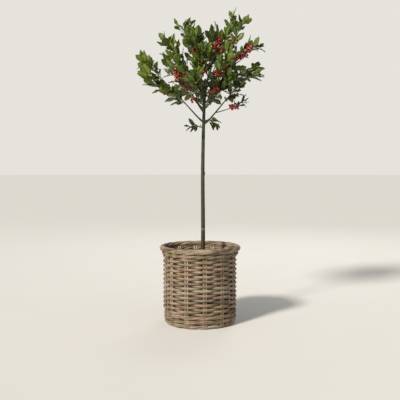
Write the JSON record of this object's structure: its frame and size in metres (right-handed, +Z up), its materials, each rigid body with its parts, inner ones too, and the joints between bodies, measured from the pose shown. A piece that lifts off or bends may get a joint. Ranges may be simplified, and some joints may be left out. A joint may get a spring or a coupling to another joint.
{
  "type": "potted holly tree",
  "caption": "Small standard holly with a bare stem and an open berried head, planted in a round woven rattan basket with a rolled border.",
  "frame": {"origin": "centre of the basket's flat underside", "axes": "+Z up the stem, +X to the viewer's right, -Y towards the viewer"},
  "size_m": [0.4768, 0.4201, 1.162],
  "materials": {
    "rattan": "matte",
    "pot_plastic": "matte",
    "compost": "matte",
    "bark": "matte",
    "foliage": "satin"
  },
  "bodies": {
    "root": {"basket_base": "rattan", "basket_foot": "rattan", "basket_wall": "rattan", "basket_upper_band": "rattan", "basket_border": "rattan", "growing_pot": "pot_plastic", "soil": "compost", "trunk": "bark", "left_low_bough": "bark", "right_low_bough": "bark", "front_bough": "bark", "back_bough": "bark", "left_mid_bough": "bark", "right_mid_bough": "bark", "left_leader": "bark", "right_leader": "bark", "right_sprig_bough": "bark", "right_upper_bough": "bark", "front_left_bough": "bark", "front_right_bough": "bark", "back_left_bough": "bark", "back_right_bough": "bark", "left_upper_bough": "bark", "front_middle_bough": "bark", "front_top_bough": "bark", "front_upper_bough": "bark", "back_top_bough": "bark", "top_right_bough": "bark", "right_top_bough": "bark", "left_long_foliage": "foliage", "left_mid_foliage": "foliage", "left_upper_foliage": "foliage", "top_left_foliage": "foliage", "front_top_foliage": "foliage", "front_upper_foliage": "foliage", "front_middle_foliage": "foliage", "top_middle_foliage": "foliage", "top_right_foliage": "foliage", "right_top_foliage": "foliage", "right_upper_foliage": "foliage", "right_mid_foliage": "foliage", "right_low_foliage": "foliage", "right_sprig_foliage": "foliage", "front_left_foliage": "foliage", "front_right_foliage": "foliage", "front_low_foliage": "foliage", "back_low_foliage": "foliage", "back_left_foliage": "foliage", "back_right_foliage": "foliage", "back_top_foliage": "foliage", "lower_left_foliage": "foliage", "lower_right_foliage": "foliage", "inner_left_foliage": "foliage", "inner_right_foliage": "foliage", "inner_back_foliage": "foliage"}
  },
  "joints": []
}
